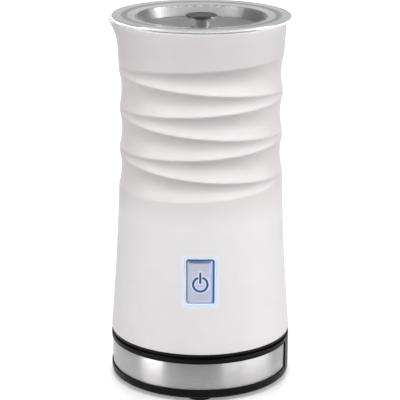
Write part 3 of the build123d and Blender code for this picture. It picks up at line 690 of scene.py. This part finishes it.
def brushed(name, colour, roughness, anisotropy=0.6, streak_mm=0.12, relief_mm=0.0012,
            vector_of=around_axis, metallic=1.0):
    """Metal with fine brushing marks."""
    made, tree, shader = new_material(name)
    vector = vector_of(tree)
    streaks = noise(tree, streak_mm, 3.0, vector, 0.6)
    tone = mix_colour(tree, remap(tree, streaks, 0, 1), tinted(colour, 0.93), tinted(colour, 1.05))
    gloss = remap(tree, noise(tree, streak_mm * 2.5, 3.0, vector), roughness - 0.05, roughness + 0.06)
    tangent = node(tree, "ShaderNodeTangent", direction_type="RADIAL", axis="Z").outputs[0]
    feed(tree, shader, {"Base Color": tone, "Roughness": gloss, "Metallic": metallic, "Tangent": tangent,
                        "Anisotropic": anisotropy, "Anisotropic Rotation": 0.25})
    add_bump(tree, shader, streaks, relief_mm)
    return made, tree, shader


def cast(name, colour, roughness, grain_mm=0.6, relief_mm=0.01, mottle=0.08):
    """Plated, cast or sintered metal."""
    made, tree, shader = new_material(name)
    tone = mix_colour(tree, remap(tree, noise(tree, 5.0, 4.0), 0, 1), tinted(colour, 1 - mottle),
                      tinted(colour, 1 + mottle))
    gloss = remap(tree, noise(tree, 1.2, 3.0), roughness - 0.06, roughness + 0.08)
    feed(tree, shader, {"Base Color": tone, "Roughness": gloss, "Metallic": 1.0})
    add_bump(tree, shader, noise(tree, grain_mm, 3.0), relief_mm)
    return made


# ---- shell, lit frame and button -----------------------------------------------------------------
WHITE, BLACK = (1, 1, 1), (0, 0, 0)
SHELL_WHITE = (0.61, 0.596, 0.606)
# Heights between which the shell gets darker, and its tint there: painted shade from where the pot starts
# behind it up to the top, and more painted shade at the collar.
SHELL_PAINTED_SHADES = [((98.0, 112.0), (0.91, 0.895, 0.885)), ((174.0, 188.0), (0.945, 0.945, 0.95))]
# Blue light on the shell round the window, how far it reaches, and how much of it there is at the edge.
WINDOW_LIGHT, LIGHT_REACH, LIGHT_SHARE = (0.6, 0.7, 0.84), 2.2, 0.5
# Painted shade: the dark blue painted on the pocket floor behind the button, and the depths below the skin
# where it starts and is full.
POCKET_PAINTED_SHADE, POCKET_SPAN = (0.04, 0.09, 0.22), (2.4, 2.6)
FRAME_BLUE, FRAME_SPAN = (0.56, 0.68, 0.84), (0.15, 0.55)
# The gap round the button has a paler side of painted light and a darker side of painted shade, each with
# its colour and its own painted glow.
GAP_LIT_AND_SHADED = (0.42, 0.45, 0.52), (0.05, 0.11, 0.27)
GAP_PAINTED_GLOW = (0.26, 0.26, 0.27), (0.13, 0.16, 0.23)
FRAME_GLOW = (0.02, 0.04, 0.07), (0.03, 0.05, 0.08)
GAP_SHADE_X, GAP_SHADE_TOP = (6.2, 7.0), (1.2, 0.4)
# The button's silver, the painted blue reflection of the lit frame on its right and top bevels, and painted
# shade on its left bevel; then how much of that painted reflection the top bevel gets.
BUTTON_SILVER, BEVEL_PAINTED_REFLECTION, BEVEL_PAINTED_SHADE = (0.59, 0.61, 0.71), (0.38, 0.45, 0.66), (0.46, 0.48, 0.55)
TOP_REFLECTION_SHARE = 0.75
# Pale halo round the mark: its colour, its reach, and how metallic the face is outside and inside it.
HALO, HALO_REACH, HALO_METALLIC = (0.8, 0.84, 0.92), 0.85, (0.85, 0.25)
BAR_END_INSET = 0.6


def below_skin(tree):
    """How far a point near the button lies below the shell's skin, in millimetres."""
    x, y, z = split_place(tree)
    lean = float(body_r(BUTTON_Z + 10) - body_r(BUTTON_Z - 10)) / 20
    skin = math_node(tree, "MULTIPLY_ADD", z, lean, float(body_r(BUTTON_Z)) - lean * BUTTON_Z)
    return minus(tree, skin, length_of(tree, x, y))


def gap_painted_light_and_shade(tree, paler, darker):
    """Colour in the gap round the button: painted shade along its top and right, painted light on the left
    and below.
    """
    x, _, z = split_place(tree)
    top = BUTTON_Z + BUTTON_H / 2
    upper = rising(tree, z, top - GAP_SHADE_TOP[0], top - GAP_SHADE_TOP[1])
    return mix_colour(tree, larger(tree, rising(tree, x, *GAP_SHADE_X), upper), paler, darker)


def shell_plastic():
    """Satin white plastic with painted shade from where the pot starts behind it and more at the collar,
    painted blue light round the window, and a painted dark pocket floor with a painted glow.
    """
    made, tree, shader = moulded("shell_plastic", SHELL_WHITE, 0.5, grain_mm=0.5, relief_mm=0.0025,
                                 mottle=0.012, specular=0.4)
    x, y, z = split_place(tree)
    tone = base_colour(shader)
    # Painted shade: darker from where the pot starts behind the shell, and darker still at the collar.
    for span, shade in SHELL_PAINTED_SHADES:
        tint = mix_colour(tree, rising(tree, z, *span), WHITE, shade)
        tone = mix_colour(tree, 1.0, tone, tint, "MULTIPLY")
    outside = larger(tree, minus(tree, distance_from(tree, x, 0.0), WINDOW_W / 2),
                     minus(tree, distance_from(tree, z, BUTTON_Z), WINDOW_H / 2))
    front = math_node(tree, "LESS_THAN", y, 0.0)
    lit = times(tree, remap(tree, outside, LIGHT_SHARE, 0.0, 0.0, LIGHT_REACH), front)
    tone = mix_colour(tree, lit, tone, WINDOW_LIGHT)
    # The pocket floor behind the button: painted dark blue shade, and a painted glow that is paler on the
    # left and below.
    pocket = times(tree, rising(tree, below_skin(tree), *POCKET_SPAN), front)
    feed(tree, shader, {"Base Color": mix_colour(tree, pocket, tone, POCKET_PAINTED_SHADE),
                        "Emission Color": mix_colour(tree, pocket, BLACK, gap_painted_light_and_shade(tree, *GAP_PAINTED_GLOW)),
                        "Emission Strength": 1.0})
    return made


def light_guide():
    """Pale blue light guide, with painted deep blue shade down in the gap round the button and the gap's
    painted glow there.
    """
    made, tree, shader = moulded("light_guide", FRAME_BLUE, 0.4, grain_mm=0.3, relief_mm=0.003)
    deep = rising(tree, below_skin(tree), *FRAME_SPAN)
    glow = mix_colour(tree, remap(tree, noise(tree, 6.0), 0, 1), *FRAME_GLOW)
    # Down in the gap the guide gets the gap's painted light and shade and its painted glow.
    feed(tree, shader, {
        "Base Color": mix_colour(tree, deep, base_colour(shader), gap_painted_light_and_shade(tree, *GAP_LIT_AND_SHADED)),
        "Emission Color": mix_colour(tree, deep, glow, gap_painted_light_and_shade(tree, *GAP_PAINTED_GLOW)),
        "Emission Strength": 1.0,
    })
    return made


def button_face():
    """Brushed silver, a painted blue reflection of the lit frame on the right and top bevels, painted shade
    on the left bevel, and a painted pale halo of light round the mark lit from behind.
    """
    made, tree, shader = brushed("button_silver", BUTTON_SILVER, 0.42, 0.3, 0.15, 0.0015, upright_streaks)
    x, _, z = split_place(tree)
    right_edge = BUTTON_W / 2 - 2 * BUTTON_HANG - BEVEL_W
    top_edge = BUTTON_Z + BUTTON_H / 2 - 2 * BUTTON_HANG - BEVEL_W
    left_edge = BEVEL_W - BUTTON_W / 2
    right = rising(tree, x, right_edge - 0.1, right_edge + 0.3)
    top = rising(tree, z, top_edge - 0.1, top_edge + 0.3)
    left = falling(tree, x, left_edge - 0.1, left_edge + 0.3)
    # Painted reflection of the lit frame on the right and top bevels, and painted shade on the left bevel.
    lit_bevel = larger(tree, right, times(tree, top, TOP_REFLECTION_SHARE))
    tone = mix_colour(tree, lit_bevel, base_colour(shader), BEVEL_PAINTED_REFLECTION)
    tone = mix_colour(tree, left, tone, BEVEL_PAINTED_SHADE)
    off_ring = distance_from(tree, length_of(tree, x, minus(tree, z, SYMBOL_Z)), SYMBOL_R)
    bar_middle, bar_half = SYMBOL_Z + (BAR_LOW + BAR_HIGH) / 2, (BAR_HIGH - BAR_LOW) / 2 - BAR_END_INSET
    off_bar = larger(tree, distance_from(tree, x, 0.0),
                     minus(tree, distance_from(tree, z, bar_middle), bar_half))
    off_mark = math_node(tree, "MINIMUM", off_ring, off_bar)
    halo = remap(tree, off_mark, HALO_REACH, 0.0, SYMBOL_STROKE / 2, SYMBOL_STROKE / 2 + HALO_REACH)
    feed(tree, shader, {"Base Color": mix_colour(tree, halo, tone, HALO),
                        "Metallic": remap(tree, halo, *HALO_METALLIC, 0.0, 1.0)})
    return made


def symbol_ink():
    """Dark blue ink of the mark, with a little light behind it."""
    made, _, shader = moulded("symbol_blue", (0.035, 0.085, 0.215), 0.35, grain_mm=0.3)
    shader.inputs["Emission Color"].default_value = (0.1, 0.3, 0.8, 1)
    shader.inputs["Emission Strength"].default_value = 0.03
    return made


# ---- the lid's plastic ---------------------------------------------------------------------------
# Spans over which a part of the lid begins, as radii, heights or distances in millimetres.
RIM_SPAN = DISH_EDGE_R - 1.0, DISH_EDGE_R + 0.5
KNOB_SPAN_R = KNOB_HIGH[0] + 0.1, KNOB_HIGH[0] + 0.3
KNOB_SPAN_Z = KNOB_HIGH[2] - 1.8, KNOB_HIGH[2] - 1.7
CORE_SPAN = STEM_BORE_R, STEM_BORE_R + 0.1
# Where the painted shade along the rim's lower outer edge begins, in radius and height.
EDGE_SPAN_R = LID_HIGH[0] - 1.2, LID_HIGH[0] - 0.6
EDGE_SPAN_Z = SHELL_Z1 + 0.9, SHELL_Z1 + 1.5
# Painted shade: a darker ring where the skirt and the pot's rim show through the lid, its radius and its
# span.
SEEN_RING_R, SEEN_RING_SPAN = 41.8, (0.8, 2.4)
# Roughness and transmission in the dish and in the rim, and what the knob's core takes off the second.
LID_ROUGHNESS, LID_WEAR = (0.36, 0.15), 0.03
LID_THROUGH, CORE_BLOCKS = (0.76, 0.6), 0.7
RIM_GREYS = (0.76, 0.76, 0.765), (0.8, 0.8, 0.805)
# Painted shade of the ring where the skirt and pot rim show through, and the dish's grey.
SEEN_RING_PAINTED_SHADE, DISH_GREY = (0.42, 0.42, 0.43), (0.45, 0.45, 0.455)
# Painted shade along the rim's lower outer edge, and the knob's dark grey.
EDGE_PAINTED_SHADE, KNOB_GREY = (0.2, 0.2, 0.21), (0.1, 0.1, 0.105)
ACRYLIC_IOR = 1.49


def clear_plastic():
    """Clear plastic, dulled by washing: milky in the thick rim, clearer in the dish, dark in the knob, with
    a painted dark ring where the skirt and pot rim show through and painted shade along the rim's lower
    outer edge.
    """
    made, tree, shader = new_material("lid_clear")
    x, y, z = split_place(tree)
    radius = length_of(tree, x, y)
    rim = rising(tree, radius, *RIM_SPAN)
    knob = times(tree, falling(tree, radius, *KNOB_SPAN_R), rising(tree, z, *KNOB_SPAN_Z))
    core = falling(tree, radius, *CORE_SPAN)
    # Painted shade: a darker ring where the skirt and pot rim show through.
    ring = falling(tree, distance_from(tree, radius, SEEN_RING_R), *SEEN_RING_SPAN)
    # Painted shade along the rim's lower outer edge.
    edge = times(tree, rising(tree, radius, *EDGE_SPAN_R), falling(tree, z, *EDGE_SPAN_Z))
    tone = mix_colour(tree, remap(tree, noise(tree, 20.0), 0, 1), *RIM_GREYS)
    tone = mix_colour(tree, ring, tone, SEEN_RING_PAINTED_SHADE)
    tone = mix_colour(tree, rim, DISH_GREY, tone)
    tone = mix_colour(tree, edge, tone, EDGE_PAINTED_SHADE)
    tone = mix_colour(tree, larger(tree, knob, core), tone, KNOB_GREY)
    wear = remap(tree, noise(tree, 2.0, 4.0), -LID_WEAR, LID_WEAR)
    roughness = math_node(tree, "ADD", remap(tree, rim, *LID_ROUGHNESS, 0.0, 1.0), wear)
    through = minus(tree, remap(tree, rim, *LID_THROUGH, 0.0, 1.0), times(tree, core, CORE_BLOCKS))
    feed(tree, shader, {"Base Color": tone, "Roughness": roughness, "Transmission Weight": through,
                        "IOR": ACRYLIC_IOR})
    add_bump(tree, shader, noise(tree, 9.0, 1.0), 0.02)
    return made


# ---- other materials -----------------------------------------------------------------------------
def circuit_board():
    """Green laminate with a net of paler tracks."""
    made, tree, shader = moulded("board_laminate", (0.03, 0.17, 0.07), 0.35, mottle=0.1)
    tracks = {"Vector": place(tree), "Scale": 240.0, "Mortar Size": 0.06, "Mortar": (0.1, 0.34, 0.14, 1),
              "Color1": (0.02, 0.14, 0.06, 1), "Color2": (0.03, 0.2, 0.08, 1)}
    lines = node(tree, "ShaderNodeTexBrick", tracks)
    tree.links.new(lines.outputs["Color"], shader.inputs["Base Color"])
    return made


def led_lens():
    made, _, shader = moulded("led_lens", (0.8, 0.9, 1.0), 0.2)
    shader.inputs["Emission Color"].default_value = (0.35, 0.6, 1.0, 1)
    shader.inputs["Emission Strength"].default_value = 1.0
    return made


# Colour, roughness and size of grain.
PLASTICS = {
    "nylon": ((0.035, 0.035, 0.037), 0.5, 0.5),
    "foot_rubber": ((0.02, 0.02, 0.02), 0.75, 0.4),
    "gland_rubber": ((0.024, 0.024, 0.024), 0.65, 0.4),
    "gasket_silicone": ((0.42, 0.42, 0.42), 0.55, 0.5),
    "white_nylon": ((0.72, 0.7, 0.64), 0.5, 0.6),
    "component_black": ((0.03, 0.03, 0.03), 0.35, 0.4),
    "component_yellow": ((0.7, 0.5, 0.06), 0.3, 0.5),
    "component_blue": ((0.04, 0.1, 0.33), 0.3, 0.5),
    "terminal_green": ((0.04, 0.3, 0.1), 0.4, 0.5),
    "lid_silicone": ((0.1, 0.1, 0.105), 0.5, 0.5),
    "whisk_plastic": ((0.035, 0.035, 0.038), 0.4, 0.4),
}
# Colour, roughness and anisotropy.
TURNED_METALS = {
    "band_steel": ((0.5, 0.493, 0.497), 0.32, 0.92),
    "contact_brass": ((0.8, 0.58, 0.27), 0.25, 0.3),
    "motor_steel": ((0.56, 0.57, 0.58), 0.32, 0.3),
    "heater_coil": ((0.3, 0.27, 0.25), 0.5, 0.2),
}
# Colour and roughness.
CAST_METALS = {
    "screw_steel": ((0.62, 0.62, 0.6), 0.3),
    "heater_aluminium": ((0.78, 0.78, 0.79), 0.42),
    "ferrite": ((0.1, 0.1, 0.105), 0.6),
    "magnet_nickel": ((0.75, 0.74, 0.7), 0.16),
    "bush_bronze": ((0.6, 0.4, 0.2), 0.45),
    "whisk_steel": ((0.8, 0.8, 0.81), 0.15),
}


def all_materials():
    """One material for each slot of the record."""
    made = {
        "shell_plastic": shell_plastic(),
        "lid_clear": clear_plastic(),
        "light_guide": light_guide(),
        "button_silver": button_face(),
        "symbol_blue": symbol_ink(),
        "board_laminate": circuit_board(),
        "led_lens": led_lens(),
        "pot_steel": brushed("pot_steel", (0.6, 0.6, 0.605), 0.32, 0.5, metallic=0.55)[0],
        "black_plastic": moulded("black_plastic", (0.004, 0.0038, 0.004), 0.36, 0.3, specular=0.22)[0],
    }
    for name, (colour, roughness, grain) in PLASTICS.items():
        made[name] = moulded(name, colour, roughness, grain)[0]
    for name, (colour, roughness, anisotropy) in TURNED_METALS.items():
        made[name] = brushed(name, colour, roughness, anisotropy)[0]
    for name, (colour, roughness) in CAST_METALS.items():
        made[name] = cast(name, colour, roughness)
    return made


# ---- putting the object together -----------------------------------------------------------------
PIECES = [
    ("jug_shell", jug_shell, "jug", "shell_plastic", ["outer_shell"]),
    ("light_frame", light_frame, "jug", "light_guide", ["button_light_frame"]),
    ("push_button", button, "power_button", "button_silver", ["button_cap"]),
    ("power_mark", power_mark, "power_button", "symbol_blue", ["power_symbol"]),
    ("clear_lid", lid_dish, "lid", "lid_clear", ["lid_dish"]),
    ("lid_knob_cap", lid_knob, "lid", "lid_clear", ["lid_knob"]),
    ("lid_seal_ring", lid_seal, "lid", "lid_silicone", ["lid_seal"]),
    ("brushed_band", steel_band, "base", "band_steel", ["steel_band"]),
    ("steel_pot", inner_pot, "jug", "pot_steel", ["inner_pot"]),
    ("whisk_spring", whisk_coil, "whisk", "whisk_steel", ["whisk_coil"]),
]


def build():
    """Makes the visual pieces and gives the CAD parts their materials. The clear lid casts no shadow."""
    materials = all_materials()
    for name, form, body, slot, replaced in PIECES:
        points, faces = form()
        made = add_piece(name, points, faces, body, replaced)
        made.data.materials.append(materials[slot])
        made.visible_shadow = slot != "lid_clear"
    for part in frame["record"]["subparts"]:
        cad = NODES[part["node"]]
        cad.data.materials.clear()
        cad.data.materials.append(materials[part["material_slot"]])


# ---- stage, light and camera ---------------------------------------------------------------------
PANEL_DISTANCE, PANEL_MIDDLE_Z, PANEL_H = 1.4, 0.75, 1.5
# Bearing in degrees from the front, width in metres and power in watts.
PANELS = {"left_panel": (-63, 0.76, 16.5), "right_panel": (77, 1.15, 17), "right_fill": (40, 0.6, 6.5)}
HIGH_LAMP_AIM_Z = 0.1
# Bearing and elevation in degrees, distance and side in metres, and power in watts.
HIGH_LAMPS = {"front_key": (0, 62, 1.8, 0.8, 27), "back_key": (180, 50, 2.2, 1.2, 46)}
# The floor's tone, and the light of its own that it shows to the camera: FLOOR_LIFT close by, 1 far off.
FLOOR_SIZE, FLOOR_TONE, FLOOR_MOTTLE, FLOOR_LIFT, LIFT_SPAN = 12.0, 0.5, 0.02, 0.36, (0.5, 1.3)
# The room's own light: a dim band over the horizon, and a backdrop behind the object (+Y).
HORIZON, HORIZON_SPAN = 0.03, (0.25, 0.45)
BACKDROP, BACKDROP_SPAN_Y, BACKDROP_SPAN_Z = 0.3, (0.75, 0.9), (0.35, 0.5)
LENS_MM, SENSOR_MM, LENS_SHIFT = 151.45, 36.0, -0.0016
CAMERA_AIM_Z, CAMERA_DISTANCE = 0.1005, 0.93665
CAMERA_PITCH, CAMERA_ROLL = math.radians(16.28), math.radians(0.24)


def area_light(name, spot, target, size, power):
    lamp = bpy.data.lights.new(name, "AREA")
    lamp.shape = "RECTANGLE"
    lamp.size, lamp.size_y = size
    lamp.energy = power
    made = bpy.data.objects.new(name, lamp)
    bpy.context.scene.collection.objects.link(made)
    made.location = spot
    made.rotation_euler = (Vector(target) - Vector(spot)).to_track_quat("-Z", "Y").to_euler()
    made.visible_camera = False
    return made


def panel(name, bearing, width, power):
    """Upright soft box standing round the object at a bearing in degrees from the front."""
    turn, z = math.radians(bearing), PANEL_MIDDLE_Z
    spot = (PANEL_DISTANCE * math.sin(turn), -PANEL_DISTANCE * math.cos(turn), z)
    area_light(name, spot, (0, 0, z), (width, PANEL_H), power)


def high_lamp(name, bearing, elevation, distance, side, power):
    """Square soft box above the object, aimed at its middle and kept out of its reflections."""
    turn, rise = math.radians(bearing), math.radians(elevation)
    reach = distance * math.cos(rise)
    height = HIGH_LAMP_AIM_Z + distance * math.sin(rise)
    spot = (reach * math.sin(turn), -reach * math.cos(turn), height)
    made = area_light(name, spot, (0, 0, HIGH_LAMP_AIM_Z), (side, side), power)
    made.visible_glossy = False
    made.visible_transmission = False


def floor_paper():
    """White paper that looks brighter than the light it throws back, as the cut-out background does."""
    made, tree, shader = new_material("floor_paper")
    tone = mix_colour(tree, remap(tree, noise(tree, 300.0), 0, 1), tinted(WHITE, FLOOR_TONE),
                      tinted(WHITE, FLOOR_TONE + FLOOR_MOTTLE))
    across = node(tree, "ShaderNodeVectorMath", {0: place(tree)}, operation="LENGTH").outputs["Value"]
    lift = larger(tree, rising(tree, across, *LIFT_SPAN), FLOOR_LIFT)
    path = node(tree, "ShaderNodeLightPath").outputs
    looked_at = larger(tree, path["Is Camera Ray"], path["Is Glossy Ray"])
    feed(tree, shader, {"Base Color": tone, "Roughness": 0.9, "Emission Color": rgba(WHITE),
                        "Emission Strength": times(tree, lift, looked_at)})
    return made


def studio():
    """White room: plain white to the camera, and to all else a dim horizon and a backdrop."""
    world = bpy.data.worlds.new("studio")
    bpy.context.scene.world = world
    world.use_nodes = True
    tree = world.node_tree
    back = tree.nodes["Background"]
    facing = node(tree, "ShaderNodeTexCoord").outputs["Generated"]
    _, y, z = node(tree, "ShaderNodeSeparateXYZ", {"Vector": facing}).outputs[:3]
    horizon = remap(tree, z, HORIZON, 0.0, *HORIZON_SPAN)
    behind = remap(tree, y, 0.0, BACKDROP, *BACKDROP_SPAN_Y)
    backdrop = times(tree, behind, falling(tree, z, *BACKDROP_SPAN_Z))
    seen = node(tree, "ShaderNodeLightPath").outputs["Is Camera Ray"]
    strength = node(tree, "ShaderNodeMix", {0: seen, 2: larger(tree, backdrop, horizon), 3: 1.0})
    feed(tree, back, {"Color": rgba(WHITE), "Strength": strength.outputs[0]})


def stage():
    bpy.ops.mesh.primitive_plane_add(size=FLOOR_SIZE, location=(0, 0, 0))
    floor = bpy.context.object
    floor.name = "floor"
    floor.data.materials.append(floor_paper())
    studio()
    for name, settings in PANELS.items():
        panel(name, *settings)
    for name, settings in HIGH_LAMPS.items():
        high_lamp(name, *settings)


def camera():
    data = bpy.data.cameras.new("camera")
    data.lens, data.sensor_width = LENS_MM, SENSOR_MM
    data.shift_x = LENS_SHIFT
    made = bpy.data.objects.new("camera", data)
    bpy.context.scene.collection.objects.link(made)
    target = Vector((0, 0, CAMERA_AIM_Z))
    away = Vector((0, -math.cos(CAMERA_PITCH), math.sin(CAMERA_PITCH)))
    made.location = target + CAMERA_DISTANCE * away
    aim = (target - made.location).to_track_quat("-Z", "Y").to_euler()
    aim.rotate_axis("Z", CAMERA_ROLL)
    made.rotation_euler = aim
    bpy.context.scene.camera = made


camera()
build()
stage()
bpy.context.scene.view_settings.view_transform = "Standard"
bpy.context.scene.view_settings.gamma = 0.8
